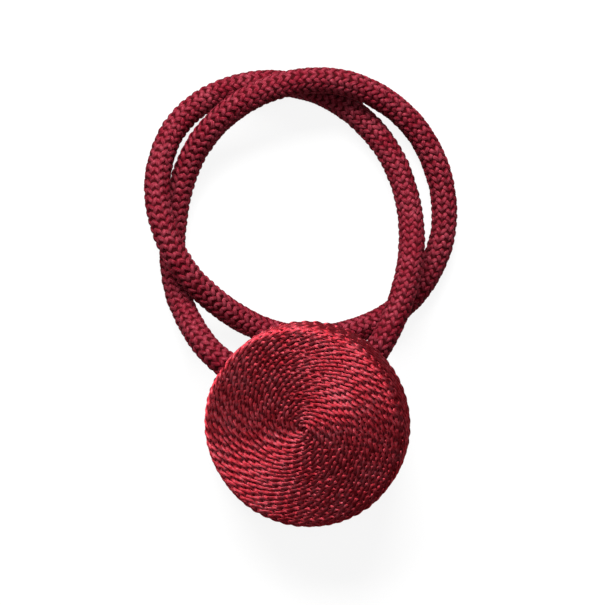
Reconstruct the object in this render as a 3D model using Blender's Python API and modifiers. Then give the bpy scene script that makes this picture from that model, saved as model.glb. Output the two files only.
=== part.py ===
# Magnetic curtain tieback: two cord-wound magnetic buttons snapped back to back, joined by one
# braided rope that is wound twice into a loop. It lies on a flat surface at z = 0.
import math

import bmesh
import bpy
import numpy as np
from mathutils import Matrix, Vector

MM = 0.001

# Buttons
DISC_R = 22.5 * MM          # outer radius
RIM = 8.0 * MM              # thickness at the rim
FACE_R = 20.6 * MM          # where the face ends and the shoulder begins
SHOULDER = DISC_R - FACE_R  # radius of the rounded shoulder
DOME = 1.2 * MM             # rise of the face at its middle
BACK_ROUND = 0.8 * MM       # rounding of the back edge
DISC_STEPS = 56             # sides of each turned button

# How the pair lies
LEAN = math.radians(14.5)      # tilt of the pair's axis from the vertical
LEAN_TO = math.radians(219.0)  # the way the axis leans, from +X toward +Y
GAP = 0.3 * MM                 # between the two backs
FLAT = 0.4 * MM                # how far the lower edge is pressed flat by the surface

# Rope
ROPE_R = 3.0 * MM
ROPE_SPANS = 75                # straight lengths that stand for the smooth run
SOCKET_CLEAR = 0.3 * MM        # round the rope and at its end
ROPE_SEAT = 16.5 * MM          # radius in the button where the rope ends
FRONT_SOCKET = math.radians(143.5)
REAR_SOCKET = math.radians(46.5)

# Middle line of the rope from the front button round to the rear one, in millimetres
ROUTE = [
    (-21.7, 16.5, 14.3), (-25.4, 21.4, 10.2), (-28.8, 28.5, 5.3), (-30.2, 36.7, 3.2),
    (-29.8, 45.7, 3.0), (-27.8, 54.7, 3.6), (-23.8, 62.9, 5.6), (-17.7, 69.3, 7.7),
    (-10.0, 73.8, 9.1), (-1.0, 76.2, 9.4), (7.9, 76.0, 8.3), (16.2, 72.9, 6.3),
    (23.3, 67.3, 4.5), (28.2, 59.6, 3.4), (30.7, 50.7, 3.0), (30.4, 41.5, 3.0),
    (27.0, 33.0, 3.0), (21.2, 26.0, 3.0), (13.2, 21.4, 3.0), (4.4, 19.1, 3.0),
    (-4.8, 19.4, 3.0), (-13.3, 22.4, 4.1), (-20.7, 27.4, 7.4), (-27.1, 34.0, 10.2),
    (-31.4, 42.1, 10.3), (-33.4, 50.9, 8.8), (-32.4, 59.8, 6.5), (-28.3, 67.9, 4.0),
    (-20.9, 73.5, 3.0), (-12.0, 76.1, 3.0), (-2.8, 75.9, 3.0), (5.9, 72.8, 3.0),
    (13.2, 67.3, 3.1), (18.8, 60.1, 3.7), (22.1, 51.7, 5.3), (23.4, 42.9, 7.9),
    (22.6, 33.9, 11.0), (19.9, 25.1, 13.6), (16.2, 17.6, 14.7),
]


def clear_scene():
    for ob in list(bpy.data.objects):
        bpy.data.objects.remove(ob, do_unlink=True)


def collection(name):
    col = bpy.data.collections.new(name)
    bpy.context.scene.collection.children.link(col)
    return col


def cloth(name, color, roughness):
    mat = bpy.data.materials.new(name)
    mat.use_nodes = True
    shader = mat.node_tree.nodes["Principled BSDF"]
    shader.inputs["Base Color"].default_value = (*color, 1.0)
    shader.inputs["Roughness"].default_value = roughness
    shader.inputs["Metallic"].default_value = 0.0
    mat.diffuse_color = (*color, 1.0)
    return mat


# Where things are

def pair_axis():
    side = math.sin(LEAN)
    return Vector((side * math.cos(LEAN_TO), side * math.sin(LEAN_TO), math.cos(LEAN)))


def rear_middle():
    low = (RIM / 2 - SHOULDER) * math.cos(LEAN) + FACE_R * math.sin(LEAN) + SHOULDER
    return Vector((0.0, 0.0, low - FLAT))


def front_middle():
    # the front button lies straight above the rear one, so the pair has slipped a little along its backs
    return rear_middle() + Vector((0.0, 0.0, (RIM + GAP) / math.cos(LEAN)))


def outward(azimuth):
    # direction in the plane of the buttons
    axis = pair_axis()
    x, y = math.cos(azimuth), math.sin(azimuth)
    return Vector((x, y, -(axis.x * x + axis.y * y) / axis.z)).normalized()


# Buttons

def disc_profile():
    pts = [(FACE_R * k, RIM / 2 + DOME * (1 - k * k)) for k in (0.0, 0.22, 0.44, 0.64, 0.83)]
    for deg in (90, 72, 54, 36, 18, 0):
        a = math.radians(deg)
        pts.append((FACE_R + SHOULDER * math.cos(a), RIM / 2 - SHOULDER + SHOULDER * math.sin(a)))
    for deg in (0, -30, -60, -90):
        a = math.radians(deg)
        pts.append((DISC_R - BACK_ROUND + BACK_ROUND * math.cos(a),
                    -RIM / 2 + BACK_ROUND + BACK_ROUND * math.sin(a)))
    pts.append((0.0, -RIM / 2))
    return pts


def turned(name, profile, steps, col):
    mesh = bpy.data.meshes.new(name)
    verts = [(r, 0.0, z) for r, z in profile]
    mesh.from_pydata(verts, [(i, i + 1) for i in range(len(verts) - 1)], [])
    ob = bpy.data.objects.new(name, mesh)
    col.objects.link(ob)
    screw = ob.modifiers.new("turn", "SCREW")
    screw.axis = "Z"
    screw.angle = math.radians(360.0)
    screw.steps = steps
    screw.render_steps = steps
    screw.use_merge_vertices = True
    screw.merge_threshold = 0.00001
    screw.use_normal_calculate = True
    return ob


def hide_cutter(ob):
    ob.hide_render = True
    ob.display_type = "WIRE"


def socket_cutter(name, middle, azimuth, col):
    start = middle + outward(azimuth) * (ROPE_SEAT - SOCKET_CLEAR)
    bm = bmesh.new()
    bmesh.ops.create_cone(bm, cap_ends=True, segments=32, radius1=ROPE_R + SOCKET_CLEAR,
                          radius2=ROPE_R + SOCKET_CLEAR, depth=14.0 * MM)
    bmesh.ops.translate(bm, verts=bm.verts, vec=(0.0, 0.0, 7.0 * MM))
    turn = Vector((0.0, 0.0, 1.0)).rotation_difference(outward(azimuth)).to_matrix().to_4x4()
    bm.transform(Matrix.Translation(start) @ turn)
    mesh = bpy.data.meshes.new(name)
    bm.to_mesh(mesh)
    bm.free()
    ob = bpy.data.objects.new(name, mesh)
    col.objects.link(ob)
    hide_cutter(ob)
    return ob


def surface_cutter(name, col):
    bm = bmesh.new()
    bmesh.ops.create_cube(bm, size=1.0)
    bm.transform(Matrix.Translation((0.0, 0.0, -10.0 * MM)) @ Matrix.Diagonal((0.08, 0.08, 0.02, 1.0)))
    mesh = bpy.data.meshes.new(name)
    bm.to_mesh(mesh)
    bm.free()
    ob = bpy.data.objects.new(name, mesh)
    col.objects.link(ob)
    hide_cutter(ob)
    return ob


def cut(ob, cutter):
    mod = ob.modifiers.new("cut_" + cutter.name, "BOOLEAN")
    mod.operation = "DIFFERENCE"
    mod.solver = "EXACT"
    mod.object = cutter


def button(name, middle, face, material, col):
    ob = turned(name, disc_profile(), DISC_STEPS, col)
    turn = Vector((0.0, 0.0, 1.0)).rotation_difference(face).to_matrix().to_4x4()
    ob.matrix_world = Matrix.Translation(middle) @ turn
    ob.data.materials.append(material)
    return ob


# Rope

def rope_stations():
    first = [front_middle() + outward(FRONT_SOCKET) * r for r in (ROPE_SEAT, 19.5 * MM, 22.3 * MM)]
    last = [rear_middle() + outward(REAR_SOCKET) * r for r in (22.3 * MM, 19.5 * MM, ROPE_SEAT)]
    middle = [Vector(p) * MM for p in ROUTE]
    return np.array([tuple(p) for p in first + middle + last])


def smooth_run(points, spans):
    # natural cubic curve through the stations, read at even lengths
    gaps = np.linalg.norm(np.diff(points, axis=0), axis=1)
    at = np.concatenate(([0.0], np.cumsum(gaps)))
    n = len(points)
    system = np.eye(n)
    right = np.zeros((n, 3))
    for i in range(1, n - 1):
        system[i, i - 1:i + 2] = gaps[i - 1], 2 * (gaps[i - 1] + gaps[i]), gaps[i]
        right[i] = 6 * ((points[i + 1] - points[i]) / gaps[i] - (points[i] - points[i - 1]) / gaps[i - 1])
    bend = np.linalg.solve(system, right)

    def read(t):
        i = np.clip(np.searchsorted(at, t, side="right") - 1, 0, n - 2)
        h = gaps[i][:, None]
        a = (at[i + 1] - t)[:, None] / h
        b = 1 - a
        return (a * points[i] + b * points[i + 1]
                + ((a ** 3 - a) * bend[i] + (b ** 3 - b) * bend[i + 1]) * h * h / 6)

    fine_at = np.linspace(0.0, at[-1], 4001)
    fine = read(fine_at)
    length = np.concatenate(([0.0], np.cumsum(np.linalg.norm(np.diff(fine, axis=0), axis=1))))
    even = read(np.interp(np.linspace(0.0, length[-1], spans + 1), length, fine_at))
    even[:, 2] = np.maximum(even[:, 2], ROPE_R)
    return even


def rope(name, material, col):
    run = smooth_run(rope_stations(), ROPE_SPANS)
    curve = bpy.data.curves.new(name, "CURVE")
    curve.dimensions = "3D"
    curve.twist_mode = "Z_UP"
    curve.bevel_depth = ROPE_R
    curve.bevel_resolution = 4
    curve.use_fill_caps = True
    line = curve.splines.new("POLY")
    line.points.add(len(run) - 1)
    for point, place in zip(line.points, run):
        point.co = (*place, 1.0)
    curve.materials.append(material)
    ob = bpy.data.objects.new(name, curve)
    col.objects.link(ob)
    return ob


def main():
    clear_scene()
    parts = collection("magnetic_curtain_tieback")
    cutters = collection("cutters")

    crimson_rope = cloth("braided_rope", (0.30, 0.020, 0.035), 0.62)
    crimson_front = cloth("front_winding", (0.32, 0.022, 0.034), 0.58)
    crimson_rear = cloth("rear_winding", (0.31, 0.021, 0.033), 0.58)

    front = button("front_disc", front_middle(), pair_axis(), crimson_front, parts)
    cut(front, socket_cutter("front_socket", front_middle(), FRONT_SOCKET, cutters))

    rear = button("rear_disc", rear_middle(), -pair_axis(), crimson_rear, parts)
    cut(rear, socket_cutter("rear_socket", rear_middle(), REAR_SOCKET, cutters))
    cut(rear, surface_cutter("surface", cutters))

    rope("rope", crimson_rope, parts)


main()
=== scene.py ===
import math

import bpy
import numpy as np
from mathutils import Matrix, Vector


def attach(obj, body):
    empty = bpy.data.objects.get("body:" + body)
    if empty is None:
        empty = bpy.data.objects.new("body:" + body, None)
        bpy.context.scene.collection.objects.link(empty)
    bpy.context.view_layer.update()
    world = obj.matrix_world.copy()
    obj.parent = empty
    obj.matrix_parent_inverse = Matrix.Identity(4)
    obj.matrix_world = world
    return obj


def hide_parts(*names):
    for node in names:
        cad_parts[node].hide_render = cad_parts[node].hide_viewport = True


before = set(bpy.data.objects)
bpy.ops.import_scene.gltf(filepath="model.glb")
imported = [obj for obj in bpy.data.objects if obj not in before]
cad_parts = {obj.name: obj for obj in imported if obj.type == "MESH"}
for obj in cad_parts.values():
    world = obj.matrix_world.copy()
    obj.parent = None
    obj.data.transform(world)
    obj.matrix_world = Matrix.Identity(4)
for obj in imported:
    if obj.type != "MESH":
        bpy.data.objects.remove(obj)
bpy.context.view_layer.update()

# A magnetic curtain tieback in full detail: two buttons wound with two-ply cord, and the braided
# rope that joins them and lies in two rounds. Sizes and places are in millimetres until a mesh is
# made. The stage's are in metres.

MM = 0.001
FLOOR_CLEAR = 0.03         # no point of the object's surface lies lower

# Buttons and how the pair lies, as in the CAD
DISC_R = 22.5
RIM = 8.0                  # thickness, from the flat back to the top of the shoulder
FACE_R = 20.6              # where the domed face ends and the shoulder begins
SHOULDER = DISC_R - FACE_R
DOME = 1.2                 # rise of the face's middle above its edge
BACK_ROUND = 0.8
LEAN = math.radians(14.5)
LEAN_TO = math.radians(219.0)      # the way the pair's axis leans, from +X toward +Y
GAP = 0.3                  # between the two backs
FLAT = 0.4                 # how far the floor presses the lower button's shoulder flat

# Points along a button's outer form
FACE_POINTS = 30
SHOULDER_POINTS = 12
SHOULDER_FROM = 84.0       # degrees above level, where the shoulder takes over from the face
BACK_POINTS = 7
SMALLEST_ROUND = 0.1
BASE_SIDES = 72

# Rope, as in the CAD
ROPE_R = 3.0
IN_SOCKET = (16.5, 19.5, 22.3)     # the stations in a socket, from the button's middle
FRONT_SOCKET = math.radians(143.5)     # azimuths, from +X toward +Y
REAR_SOCKET = math.radians(46.5)
ROUTE = [
    (-21.7, 16.5, 14.3), (-25.4, 21.4, 10.2), (-28.8, 28.5, 5.3), (-30.2, 36.7, 3.2),
    (-29.8, 45.7, 3.0), (-27.8, 54.7, 3.6), (-23.8, 62.9, 5.6), (-17.7, 69.3, 7.7),
    (-10.0, 73.8, 9.1), (-1.0, 76.2, 9.4), (7.9, 76.0, 8.3), (16.2, 72.9, 6.3),
    (23.3, 67.3, 4.5), (28.2, 59.6, 3.4), (30.7, 50.7, 3.0), (30.4, 41.5, 3.0),
    (27.0, 33.0, 3.0), (21.2, 26.0, 3.0), (13.2, 21.4, 3.0), (4.4, 19.1, 3.0),
    (-4.8, 19.4, 3.0), (-13.3, 22.4, 4.1), (-20.7, 27.4, 7.4), (-27.1, 34.0, 10.2),
    (-31.4, 42.1, 10.3), (-33.4, 50.9, 8.8), (-32.4, 59.8, 6.5), (-28.3, 67.9, 4.0),
    (-20.9, 73.5, 3.0), (-12.0, 76.1, 3.0), (-2.8, 75.9, 3.0), (5.9, 72.8, 3.0),
    (13.2, 67.3, 3.1), (18.8, 60.1, 3.7), (22.1, 51.7, 5.3), (23.4, 42.9, 7.9),
    (22.6, 33.9, 11.0), (19.9, 25.1, 13.6), (16.2, 17.6, 14.7),
]
RUN_RINGS = 1100           # even points along the rope's middle line
RUN_SAMPLES = 6001         # points at which its length is measured

# Rope cover: columns of V stitches on a core, each column half a stitch on from the next. A V is
# two short legs of yarn that part from its point. A leg's section is an arc, open underneath.
COLUMNS = 8
STITCH = 1.75              # along the rope, from one stitch of a column to the next
FIRST_STITCH = 0.6         # place of the first one from the rope's end, in stitches
LEG_R = 2.62               # from the rope's middle line to a leg's where it stands highest
LEG_DIP = 0.24             # how far the leg's ends dip
DIP_POWER = 2.5            # how suddenly they do
LEG_ALONG = 0.74           # half the leg's reach along the rope
LEG_MIDDLE = math.radians(12.0)    # from the middle of the V to the leg's, round the rope
LEG_SPAN = math.radians(13.5)      # half the leg's reach round the rope
LEG_HALF_WIDTH = 0.56
LEG_HALF_DEPTH = 0.36
LEG_TAPER = 0.30           # share of its size that the leg loses at its ends
LEG_RINGS = 6
LEG_ARC = (math.radians(-14), math.radians(194), 6)    # first and last angle, number of points
CORE_R = 2.68
CORE_STEP = 4              # the core has a ring at every fourth of the even points
CORE_SIDES = 16

# How uneven the stitches are: standard deviations, then slow waves along the rope
SIZE_SPREAD = 0.05         # share of the leg's section
PLACE_SPREAD = 0.05
REACH_SPREAD = 0.10        # share of its reach along the rope
ANGLE_SPREAD = 0.025       # radians
HEIGHT_SPREAD = 0.03
STITCH_SEED = 11
COLUMN_TURN = 0.25         # radians that the columns wander round the rope
COLUMN_WAVES = (70.0, 190.0)
COLUMN_SEED = 3
SWELL = 0.012              # share by which the rope grows thicker and thinner
SWELL_WAVES = (9.0, 31.0)
SWELL_SEED = 5

# Winding of two-ply cord, from the middle of the face outwards, over the side and onto the back
TURN = 1.15                # from one turn to the next
FIRST_TURN_R = 0.5
BACK_TURNS = 4.2
CORD_DEPTH = 0.55          # from the button's outer form to the middle of the cord
CORD_STEP = 0.41           # between two rings of the cord
SPIRAL_SAMPLES = 60000     # points at which the spiral's length is measured
SLOPE_REACH = 0.25         # to either side, where the form's slope is read
START_DIP = 0.5            # how deep the cord's start is tucked in
START_LENGTH = 1.5         # and how soon it comes up
PLY_R = 0.41
PLY_RISE = 0.18            # how far a ply's middle line rises and dips
PLY_SWING = 0.54           # and how far it swings to either side
PLY_ARC = (math.radians(-22), math.radians(202), 6)    # first and last angle, number of points
PLY_SQUARE = 0.5           # power that gives the section its fullness; 1 is round
PLY_TWIST = 4.2            # length of one full twist, times a factor that grows outwards
TWIST_AT_MIDDLE = 0.86     # the factor at the button's middle
TWIST_TO_SIDE = 0.28       # what it has gained at the button's side

# How uneven the winding is: heights and lengths of slow waves along the cord
TURN_WANDER = 0.05         # of the spiral's radius
TURN_WAVES = (0.7, 2.3)    # in turns
RISE_WANDER = 0.05         # of the cord's height
RISE_WAVES = (23.0, 71.0)
TWIST_WANDER = 0.1         # of the twist, in full twists
TWIST_WAVES = (19.0, 53.0)
THICK_WANDER = 0.08        # of a ply's thickness, as a share
THICK_WAVES = (3.0, 11.0)

# Yarn pattern: u runs along a strand and v round it. The steps give each strand its own place.
LEG_U = 0.08               # u over half a leg
STITCH_U_STEP = 0.37
COLUMN_U_STEP = 3.1
COLUMN_V_STEP = 3
STRAND_V_STEP = 40         # from one arm of the Vs, or one ply, to the other
CORD_U = 0.1               # u over a millimetre of cord
PLY_V = 0.55               # v over half a twist, against it

# Yarns: dark, middle and light colours, shine, and the finer yarns that show on a strand as ridges:
# their number round it, how they wind along u, and their depth, which both raises them in the bump
# and paints the colour darker between them and lighter on their tops as painted shade and
# highlight. On the rope the one ridge is a leg's whole crest. A place is where the yarn lies in the
# pattern of fibres.
ROPE_YARN = {
    "deep": (0.062, 0.001, 0.004), "mid": (0.122, 0.006, 0.013), "light": (0.22, 0.036, 0.052),
    "metallic": 0.55, "specular": 0.1, "roughness": 0.72, "anisotropy": 0.6,
    "ridges": 1, "ridge_turn": 0, "ridge_depth_and_shade": 0.20,
}
ROPE_YARN_PLACE = 3.0
WINDING_YARN = {
    "deep": (0.17, 0.002, 0.004), "mid": (0.29, 0.022, 0.033), "light": (0.32, 0.082, 0.102),
    "metallic": 0.90, "specular": 0.8, "roughness": 0.62, "anisotropy": 0.93,
    "ridges": 1.5, "ridge_turn": 11.5, "ridge_depth_and_shade": 0.10,
}
SHEEN_TINT = (0.45, 0.08, 0.12, 1.0)
DEEP_AT, MID_AT, LIGHT_AT = 0.30, 0.50, 0.72       # where the colours lie on the shade's range
FIBRE_CELLS = (14.0, 7.0, 1.0)     # of noise, in a unit of u and of v
FIBRE_SHARE = 0.65         # of the shade; the dye has the rest
FIBRE_RANGE = (0.3, 0.7)   # the noise's usual lowest and highest value
DYE_CELLS = 260.0          # of noise, in a metre
RIDGE_MEAN = 0.6           # mean height of the ridges, which reach from 0 to 1
RIDGE_RELIEF = 2.0         # their share in the bump for each unit of their depth
FIBRE_RELIEF = 0.00012     # metres
ROUGHNESS_SPREAD = 0.06

# Cloth under stitches and cord, seen only in the gaps between them. Its near-black colours are
# painted shade for those gaps.
CORE_SHADE_COLOUR = (0.030, 0.001, 0.002)
BASE_SHADE_COLOUR = (0.05, 0.002, 0.004)
BASE_SHADES = (0.6, 1.3)   # of its colour, from its darkest threads to its lightest
WEAVE_CELLS = 1500.0       # of noise, in a metre

# Stage
CAMERA_PLACE = (-0.001, 0.0269, 0.600)
CAMERA_LENS = 157.75
FLOOR_HALF = 3.0
FLOOR_GLOW = 0.88
FLOOR_GREYS = (0.085, 0.095)
FLOOR_CELLS = 400.0
LIT_PLACE = (0.0, 0.025, 0.01)     # where both lights point
KEY_LIGHT = {"place": (-0.12, 0.745, 0.62), "size": (0.75, 0.45), "power": 29.0}
FRONT_LIGHT = {"place": (0.08, 0.06, 1.0), "size": (0.30, 0.30), "power": 2.5}
ROOM_BRIGHT_WAY = (-0.45, 0.55, 0.70)
ROOM_REACH = (-0.2, 1.0)   # along that way, where the room begins to grow brighter and stops
ROOM_LIGHT = (0.02, 0.28)  # its strength at the one and the other


# Where things are

def pair_axis():
    """The way that the upper button faces. The lower one faces the other way."""
    side = math.sin(LEAN)
    return Vector((side * math.cos(LEAN_TO), side * math.sin(LEAN_TO), math.cos(LEAN)))


def rear_middle():
    low = (RIM / 2 - SHOULDER) * math.cos(LEAN) + FACE_R * math.sin(LEAN) + SHOULDER
    return Vector((0.0, 0.0, low - FLAT))


def front_middle():
    return rear_middle() + Vector((0.0, 0.0, (RIM + GAP) / math.cos(LEAN)))


def outward(azimuth):
    """The way from a button's middle to its side at this azimuth, in the button's plane."""
    axis = pair_axis()
    x, y = math.cos(azimuth), math.sin(azimuth)
    return Vector((x, y, -(axis.x * x + axis.y * y) / axis.z)).normalized()


def rope_stations():
    first = [front_middle() + outward(FRONT_SOCKET) * r for r in IN_SOCKET]
    last = [rear_middle() + outward(REAR_SOCKET) * r for r in reversed(IN_SOCKET)]
    return np.array([tuple(p) for p in first + [Vector(p) for p in ROUTE] + last])


def lengths_along(points):
    """The length from the first point to each, along the line through them."""
    return np.concatenate(([0.0], np.cumsum(np.linalg.norm(np.diff(points, axis=0), axis=1))))


def smooth_run(points, count):
    """Even points on the natural cubic curve through the given ones, and its length."""
    gaps = np.linalg.norm(np.diff(points, axis=0), axis=1)
    at = lengths_along(points)
    n = len(points)
    system, right = np.eye(n), np.zeros((n, 3))
    for i in range(1, n - 1):
        system[i, i - 1:i + 2] = gaps[i - 1], 2 * (gaps[i - 1] + gaps[i]), gaps[i]
        right[i] = 6 * ((points[i + 1] - points[i]) / gaps[i]
                        - (points[i] - points[i - 1]) / gaps[i - 1])
    bend = np.linalg.solve(system, right)

    def read(t):
        i = np.clip(np.searchsorted(at, t, side="right") - 1, 0, n - 2)
        h = gaps[i][:, None]
        a = (at[i + 1] - t)[:, None] / h
        b = 1 - a
        return (a * points[i] + b * points[i + 1]
                + ((a ** 3 - a) * bend[i] + (b ** 3 - b) * bend[i + 1]) * h * h / 6)

    fine_at = np.linspace(0.0, at[-1], RUN_SAMPLES)
    length = lengths_along(read(fine_at))
    even = read(np.interp(np.linspace(0.0, length[-1], count), length, fine_at))
    even[:, 2] = np.maximum(even[:, 2], ROPE_R)
    return even, length[-1]


def unit(v):
    return v / np.maximum(np.linalg.norm(v, axis=-1, keepdims=True), 1e-12)


def carried_frames(run):
    """Two normals carried along the run without twist, by double reflection."""
    tangent = unit(np.gradient(run, axis=0))
    normal = np.zeros_like(run)
    normal[0] = unit(np.cross(tangent[0], (0.0, 0.0, 1.0)))
    for i in range(1, len(run)):
        step = run[i] - run[i - 1]
        c = step @ step
        n = normal[i - 1] - 2 / c * (step @ normal[i - 1]) * step
        t = tangent[i - 1] - 2 / c * (step @ tangent[i - 1]) * step
        turn = tangent[i] - t
        c = turn @ turn
        normal[i] = n if c < 1e-18 else n - 2 / c * (turn @ n) * turn
    return normal, np.cross(tangent, normal)


def wander(x, waves, seed):
    """A slow, repeatable wander of about unit height: three sines near each wavelength."""
    rng = np.random.default_rng(seed)
    total = np.zeros_like(x)
    for wave in waves:
        for _ in range(3):
            near = wave * rng.uniform(0.8, 1.25)
            total += np.sin(2 * math.pi * x / near + rng.uniform(0, 6.28))
    return total / (1.7 * len(waves) ** 0.5)


# Meshes

def strips(blocks):
    """Vertices and quads of the blocks, each of which is a grid of points, rings by columns."""
    faces, base = [], 0
    for grid in blocks:
        rings, columns = grid.shape[:2]
        index = base + np.arange(rings * columns).reshape(rings, columns)
        corners = [index[:-1, :-1], index[:-1, 1:], index[1:, 1:], index[1:, :-1]]
        faces.append(np.stack(corners, -1).reshape(-1, 4))
        base += rings * columns
    return np.concatenate([grid.reshape(-1, 3) for grid in blocks]), np.concatenate(faces)


def mesh_object(name, verts, faces, material, uvs=None):
    """A smooth mesh of quads. uvs, for a yarn, has a grid of UVs for each block of points."""
    mesh = bpy.data.meshes.new(name)
    mesh.vertices.add(len(verts))
    mesh.vertices.foreach_set("co", (verts * MM).astype(np.float32).ravel())
    mesh.loops.add(len(faces) * 4)
    mesh.loops.foreach_set("vertex_index", faces.astype(np.int32).ravel())
    mesh.polygons.add(len(faces))
    mesh.polygons.foreach_set("loop_start", np.arange(0, len(faces) * 4, 4, dtype=np.int32))
    mesh.polygons.foreach_set("use_smooth", np.ones(len(faces), dtype=bool))
    mesh.update(calc_edges=True)
    if uvs is not None:
        marks = np.concatenate([uv.reshape(-1, 2) for uv in uvs])
        layer = mesh.uv_layers.new(name="yarn")
        layer.data.foreach_set("uv", marks[faces.ravel()].astype(np.float32).ravel())
    mesh.validate()
    mesh.materials.append(material)
    ob = bpy.data.objects.new(name, mesh)
    bpy.context.scene.collection.objects.link(ob)
    return ob


def above_floor(verts):
    verts[..., 2] = np.maximum(verts[..., 2], FLOOR_CLEAR)
    return verts


def stitched(name, run, length, material):
    """The rope's cover. The ends of each leg of yarn are tucked under its neighbours."""
    normal, side = carried_frames(run)
    at = np.linspace(0.0, length, len(run))
    turn = COLUMN_TURN * wander(at, COLUMN_WAVES, COLUMN_SEED)
    swell = 1.0 + SWELL * wander(at, SWELL_WAVES, SWELL_SEED)
    rng = np.random.default_rng(STITCH_SEED)
    bow = np.linspace(*LEG_ARC)
    v = (bow - bow[0]) / (bow[-1] - bow[0])
    reach = np.linspace(-1.0, 1.0, LEG_RINGS)      # along a leg, from the point of the V
    count = int(length / STITCH) - 1
    blocks, uvs = [], []

    def read(field, where):
        return np.stack([np.interp(where, at, field[:, i]) for i in range(3)], -1)

    def spread(deviation):
        return rng.normal(0.0, deviation, (count, 1))

    for column in range(COLUMNS):
        stitches = np.arange(count) + 0.5 * (column % 2) + FIRST_STITCH
        for arm in (1, -1):
            size = 1.0 + spread(SIZE_SPREAD)
            start = STITCH * stitches[:, None] + spread(PLACE_SPREAD)
            where = start - LEG_ALONG * reach * (1.0 + spread(REACH_SPREAD))
            angle = (2 * math.pi * column / COLUMNS + np.interp(where, at, turn)
                     + arm * (LEG_MIDDLE + LEG_SPAN * reach) + spread(ANGLE_SPREAD))
            radius = ((LEG_R - LEG_DIP * np.abs(reach) ** DIP_POWER) * np.interp(where, at, swell)
                      + spread(HEIGHT_SPREAD))
            out = unit(np.cos(angle)[..., None] * read(normal, where)
                       + np.sin(angle)[..., None] * read(side, where))
            middle = read(run, where) + radius[..., None] * out
            heading = unit(np.gradient(middle, axis=1))
            across = unit(np.cross(heading, out))
            up = np.cross(across, heading)
            taper = (size * (1.0 - LEG_TAPER * reach ** 2))[..., None]
            blocks.extend(middle[:, :, None]
                          + (LEG_HALF_WIDTH * taper * np.cos(bow))[..., None] * across[:, :, None]
                          + (LEG_HALF_DEPTH * taper * np.sin(bow))[..., None] * up[:, :, None])
            u = LEG_U * reach + STITCH_U_STEP * np.arange(count)[:, None] + COLUMN_U_STEP * column
            arm_v = v + COLUMN_V_STEP * column + STRAND_V_STEP * (arm > 0)
            uvs.extend(np.stack(np.broadcast_arrays(u[..., None], arm_v), -1))
    verts, faces = strips(blocks)
    return mesh_object(name, above_floor(verts), faces, material, uvs)


def rope_core(name, run, material):
    """The core that the stitches lie on, seen only between them."""
    run = run[::CORE_STEP]
    normal, side = carried_frames(run)
    ring = np.linspace(0, 2 * math.pi, CORE_SIDES + 1)
    grid = run[:, None] + CORE_R * (np.cos(ring)[None, :, None] * normal[:, None]
                                    + np.sin(ring)[None, :, None] * side[:, None])
    verts, faces = strips([grid])
    return mesh_object(name, above_floor(verts), faces, material)


def outline(depth):
    """A button's outer form, face up and sunk by depth: radii and heights from the middle of its
    face to the middle of its back, and the length from the first to each."""
    points = []
    for share in np.linspace(0.0, 1.0, FACE_POINTS):
        points.append((FACE_R * share, RIM / 2 + DOME * (1 - share * share) - depth))
    shoulder = SHOULDER - depth
    for a in np.radians(np.linspace(SHOULDER_FROM, 0.0, SHOULDER_POINTS)):
        points.append((FACE_R + shoulder * math.cos(a), RIM / 2 - SHOULDER + shoulder * math.sin(a)))
    small = max(BACK_ROUND - depth, SMALLEST_ROUND)
    low = -RIM / 2 + depth + small
    for a in np.radians(np.linspace(0.0, -90.0, BACK_POINTS)):
        points.append((DISC_R - depth - small + small * math.cos(a), low + small * math.sin(a)))
    points.append((0.0, -RIM / 2 + depth))
    points = np.array(points)
    return points, lengths_along(points)


def placed(points, middle, face):
    """Points of a button that faces up, turned to its face and moved to its middle."""
    turn = np.array(Vector((0.0, 0.0, 1.0)).rotation_difference(face).to_matrix())
    return above_floor(points @ turn.T + np.array(middle))


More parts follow.
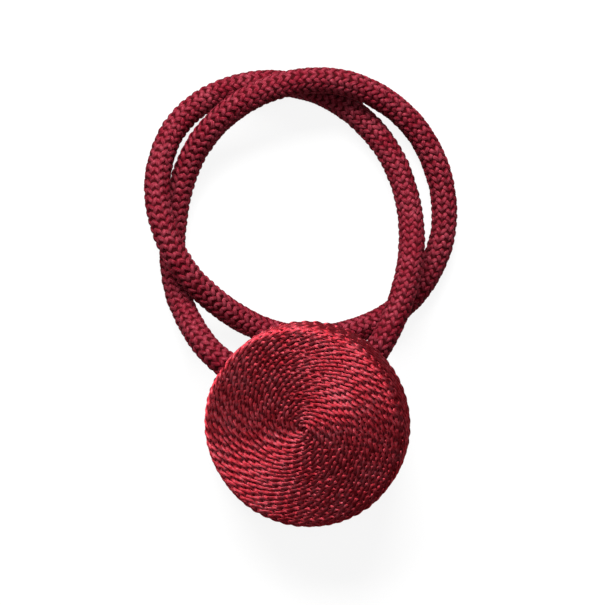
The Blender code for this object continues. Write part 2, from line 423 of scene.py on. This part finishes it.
def winding(name, middle, face, material, seed):
    """The cord on a button: two plies twisted round each other and wound in a spiral."""
    form, at = outline(CORD_DEPTH)

    def read(down):
        return np.interp(down, at, form[:, 0]), np.interp(down, at, form[:, 1])

    # the spiral at even turns: its angle, and how far down the outline it is
    back_from = at[-2]
    total_turns = (back_from + BACK_TURNS * TURN - FIRST_TURN_R) / TURN
    turns = np.linspace(0.0, total_turns, SPIRAL_SAMPLES)
    uneven = TURN_WANDER * wander(turns, TURN_WAVES, seed) * np.clip(turns, 0, 1)
    down = FIRST_TURN_R + turns * TURN + uneven
    angle = turns * 2 * math.pi
    rho, z = read(down)
    length = lengths_along(np.stack([rho * np.cos(angle), rho * np.sin(angle), z], -1))

    # the cord at even lengths along it, with its own side and the way out of the form
    even = np.linspace(0.0, length[-1], int(length[-1] / CORD_STEP))
    down = np.interp(even, length, down)
    angle = np.interp(even, length, angle)
    rho, z = read(down)
    ahead_rho, ahead_z = read(down + SLOPE_REACH)
    behind_rho, behind_z = read(down - SLOPE_REACH)
    slope_rho, slope_z = ahead_rho - behind_rho, ahead_z - behind_z
    size = np.hypot(slope_rho, slope_z)
    out_rho, out_z = -slope_z / size, slope_rho / size
    out = np.stack([out_rho * np.cos(angle), out_rho * np.sin(angle), out_z], -1)
    height = (RISE_WANDER * wander(even, RISE_WAVES, seed + 1)
              - START_DIP * np.exp(-even / START_LENGTH))
    line = np.stack([rho * np.cos(angle), rho * np.sin(angle), z], -1) + out * height[:, None]
    tangent = unit(np.gradient(line, axis=0))
    side = unit(np.cross(tangent, out))
    out = np.cross(side, tangent)

    # the plies
    laid = np.cumsum(CORD_STEP / (PLY_TWIST * (TWIST_AT_MIDDLE + TWIST_TO_SIDE * rho / DISC_R)))
    twist = 2 * math.pi * (laid + TWIST_WANDER * wander(even, TWIST_WAVES, seed + 2))
    bow = np.linspace(*PLY_ARC)
    v = (bow - bow[0]) / (bow[-1] - bow[0])
    wide, tall = (np.sign(x) * np.abs(x) ** PLY_SQUARE for x in (np.cos(bow), np.sin(bow)))
    blocks, uvs = [], []
    for ply in (0, 1):
        turned = twist + math.pi * ply
        ply_line = (line + PLY_RISE * np.cos(turned)[:, None] * out
                    - PLY_SWING * np.sin(turned)[:, None] * side)
        thick = PLY_R * (1.0 + THICK_WANDER * wander(even, THICK_WAVES, seed + 5 + ply))
        section = wide[None, :, None] * side[:, None] + tall[None, :, None] * out[:, None]
        blocks.append(ply_line[:, None] + thick[:, None, None] * section)
        ply_v = v[None] - PLY_V * turned[:, None] / math.pi + STRAND_V_STEP * ply
        uvs.append(np.stack(np.broadcast_arrays(even[:, None] * CORD_U, ply_v), -1))
    verts, faces = strips(blocks)
    return mesh_object(name, placed(verts, middle, face), faces, material, uvs)


def base_form(name, middle, face, material):
    """The form under the cord, seen between its turns and in the middle of the back."""
    form, _ = outline(CORD_DEPTH)
    ring = np.linspace(0, 2 * math.pi, BASE_SIDES + 1)
    grid = np.stack([form[:, :1] * np.cos(ring)[None], form[:, :1] * np.sin(ring)[None],
                     np.broadcast_to(form[:, 1:], (len(form), len(ring)))], -1)
    verts, faces = strips([grid[::-1]])
    return mesh_object(name, placed(verts, middle, face), faces, material)


# Materials

def new_material(name):
    """A material, its node tree and the Principled shader in it."""
    material = bpy.data.materials.new(name)
    material.use_nodes = True
    return material, material.node_tree, material.node_tree.nodes["Principled BSDF"]


def set_inputs(node, values):
    for name, value in values.items():
        node.inputs[name].default_value = value


def noise(tree, vector, values):
    """A noise texture's result. Without a vector it reads generated coordinates."""
    texture = tree.nodes.new("ShaderNodeTexNoise")
    set_inputs(texture, values)
    if vector is not None:
        tree.links.new(vector, texture.inputs["Vector"])
    return texture.outputs["Fac"]


def dot(tree, vector, way):
    """The reach of a vector along a given way."""
    product = tree.nodes.new("ShaderNodeVectorMath")
    product.operation = "DOT_PRODUCT"
    product.inputs[1].default_value = way
    tree.links.new(vector, product.inputs[0])
    return product.outputs["Value"]


def maths(tree, operation, *values):
    """A math node on numbers or other nodes' results; returns its result."""
    step = tree.nodes.new("ShaderNodeMath")
    step.operation = operation
    for socket, value in zip(step.inputs, values):
        if isinstance(value, bpy.types.NodeSocket):
            tree.links.new(value, socket)
        else:
            socket.default_value = value
    return step.outputs[0]


def map_range(tree, value, socket, before, after):
    """Runs value into socket, from one range of numbers to another."""
    mapped = tree.nodes.new("ShaderNodeMapRange")
    set_inputs(mapped, {"From Min": before[0], "From Max": before[1],
                        "To Min": after[0], "To Max": after[1]})
    tree.links.new(value, mapped.inputs["Value"])
    tree.links.new(mapped.outputs["Result"], socket)


def ramp(tree, value, socket, first, last, *between):
    """Runs value into socket as a colour. Each stop is a place and a colour."""
    colours = tree.nodes.new("ShaderNodeValToRGB")
    stops = colours.color_ramp.elements
    stops[0].position, stops[1].position = first[0], last[0]
    stops[0].color, stops[1].color = (*first[1], 1.0), (*last[1], 1.0)
    for place, colour in between:
        stops.new(place).color = (*colour, 1.0)
    tree.links.new(value, colours.inputs["Fac"])
    tree.links.new(colours.outputs["Color"], socket)


def yarn_material(name, look, place):
    """Twisted yarn: fine fibres run along each strand, the dye varies a little, and the ridges paint
    the colour darker in their grooves and lighter on their crests, as painted shade and highlight.
    """
    material, tree, shader = new_material(name)
    link = tree.links.new
    set_inputs(shader, {"Metallic": look["metallic"], "Specular IOR Level": look["specular"],
                        "Specular Tint": SHEEN_TINT, "Anisotropic": look["anisotropy"],
                        "Anisotropic Rotation": 0.25})

    lying = tree.nodes.new("ShaderNodeTangent")
    lying.direction_type = "UV_MAP"
    lying.uv_map = "yarn"
    link(lying.outputs["Tangent"], shader.inputs["Tangent"])

    uv = tree.nodes.new("ShaderNodeUVMap")
    uv.uv_map = "yarn"
    fibre_map = tree.nodes.new("ShaderNodeMapping")
    set_inputs(fibre_map, {"Scale": FIBRE_CELLS, "Location": (place, 0.0, place)})
    link(uv.outputs["UV"], fibre_map.inputs["Vector"])
    fibres = noise(tree, fibre_map.outputs["Vector"],
                   {"Scale": 1.0, "Detail": 3.0, "Roughness": 0.6})

    here = tree.nodes.new("ShaderNodeTexCoord")
    dye = noise(tree, here.outputs["Object"], {"Scale": DYE_CELLS, "Detail": 4.0})

    # the finer yarns: ridges that wind round the strand, with painted shade as a dark line between
    # them
    depth = look["ridge_depth_and_shade"]
    way = (math.pi * look["ridge_turn"], math.pi * look["ridges"], 0.0)
    ridge = maths(tree, "ABSOLUTE", maths(tree, "SINE", dot(tree, uv.outputs["UV"], way)))

    # fibres, dye and ridges added up, the ridges by how they differ from their mean: painted shade
    # in the grooves and painted highlight on the crests
    shade = maths(tree, "MULTIPLY_ADD", fibres, FIBRE_SHARE, -RIDGE_MEAN * depth)
    shade = maths(tree, "MULTIPLY_ADD", dye, 1.0 - FIBRE_SHARE, shade)
    shade = maths(tree, "MULTIPLY_ADD", ridge, depth, shade)
    ramp(tree, shade, shader.inputs["Base Color"],
         (DEEP_AT, look["deep"]), (LIGHT_AT, look["light"]), (MID_AT, look["mid"]))

    rough = look["roughness"]
    map_range(tree, fibres, shader.inputs["Roughness"],
              FIBRE_RANGE, (rough + ROUGHNESS_SPREAD, rough - ROUGHNESS_SPREAD))

    bump = tree.nodes.new("ShaderNodeBump")
    set_inputs(bump, {"Strength": 0.25, "Distance": FIBRE_RELIEF})
    height = maths(tree, "MULTIPLY_ADD", ridge, RIDGE_RELIEF * depth, fibres)
    link(height, bump.inputs["Height"])
    link(bump.outputs["Normal"], shader.inputs["Normal"])
    return material


def shade_cloth_material(name, colour):
    """The cloth under stitches and cord, coloured near-black as painted shade in the gaps between
    them.
    """
    material, tree, shader = new_material(name)
    set_inputs(shader, {"Roughness": 0.9, "Specular IOR Level": 0.05})
    here = tree.nodes.new("ShaderNodeTexCoord")
    weave = noise(tree, here.outputs["Object"], {"Scale": WEAVE_CELLS})
    darkest, lightest = BASE_SHADES
    ramp(tree, weave, shader.inputs["Base Color"],
         (0.0, [c * darkest for c in colour]), (1.0, [c * lightest for c in colour]))
    return material


def floor_material():
    """White that glows a little."""
    material, tree, shader = new_material("floor_white")
    set_inputs(shader, {"Roughness": 0.85, "Specular IOR Level": 0.2,
                        "Emission Color": (1.0, 1.0, 1.0, 1.0), "Emission Strength": FLOOR_GLOW})
    grain = noise(tree, None, {"Scale": FLOOR_CELLS})
    dark, light = FLOOR_GREYS
    ramp(tree, grain, shader.inputs["Base Color"], (0.0, (dark,) * 3), (1.0, (light,) * 3))
    return material


# Stage

def camera():
    data = bpy.data.cameras.new("camera")
    data.sensor_width = 36.0
    data.lens = CAMERA_LENS
    data.clip_start, data.clip_end = 0.01, 20.0
    ob = bpy.data.objects.new("camera", data)
    ob.location = CAMERA_PLACE
    bpy.context.scene.collection.objects.link(ob)
    bpy.context.scene.camera = ob


def floor():
    half = FLOOR_HALF / MM
    verts = np.array([(-half, -half, 0), (half, -half, 0), (half, half, 0), (-half, half, 0)])
    ob = mesh_object("floor", verts, np.array([[0, 1, 2, 3]]), floor_material())


def softbox(name, place, size, power):
    data = bpy.data.lights.new(name, "AREA")
    data.shape = "RECTANGLE"
    data.size, data.size_y = size
    data.energy = power
    ob = bpy.data.objects.new(name, data)
    ob.location = place
    ob.rotation_mode = "QUATERNION"
    ob.rotation_quaternion = (Vector(LIT_PLACE) - Vector(place)).to_track_quat("-Z", "Y")
    bpy.context.scene.collection.objects.link(ob)


def room():
    """A white room that grows brighter toward one side and upwards."""
    world = bpy.data.worlds.new("room")
    world.use_nodes = True
    tree = world.node_tree
    background = tree.nodes["Background"]
    background.inputs["Color"].default_value = (1.0, 1.0, 1.0, 1.0)
    way = tree.nodes.new("ShaderNodeTexCoord")
    rise = dot(tree, way.outputs["Generated"], ROOM_BRIGHT_WAY)
    map_range(tree, rise, background.inputs["Strength"], ROOM_REACH, ROOM_LIGHT)
    bpy.context.scene.world = world


def main():
    camera()
    run, length = smooth_run(rope_stations(), RUN_RINGS)
    rope_yarn = yarn_material("braided_rope_yarn", ROPE_YARN, ROPE_YARN_PLACE)
    rope = stitched("braided_rope", run, length, rope_yarn)
    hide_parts("rope")
    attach(rope, "root")

    # the core's near-black colour is painted shade between the stitches
    core_painted_shade = shade_cloth_material("core_painted_shade", CORE_SHADE_COLOUR)
    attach(rope_core("rope_core", run, core_painted_shade), "root")

    # the winding's base is near-black as painted shade between the turns of cord
    winding_base_painted_shade = shade_cloth_material("winding_base_painted_shade", BASE_SHADE_COLOUR)
    for name, middle, face, seed in (("front", front_middle(), pair_axis(), 100),
                                     ("rear", rear_middle(), -pair_axis(), 200)):
        yarn = yarn_material(name + "_winding_yarn", WINDING_YARN, seed * 0.1)
        wound = winding(name + "_winding", middle, face, yarn, seed)
        base = base_form(name + "_base", middle, face, winding_base_painted_shade)
        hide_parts(name + "_disc")
        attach(wound, "root")
        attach(base, "root")

    floor()
    softbox("key", **KEY_LIGHT)
    softbox("front", **FRONT_LIGHT)
    room()
    bpy.context.scene.view_settings.view_transform = "Standard"


main()
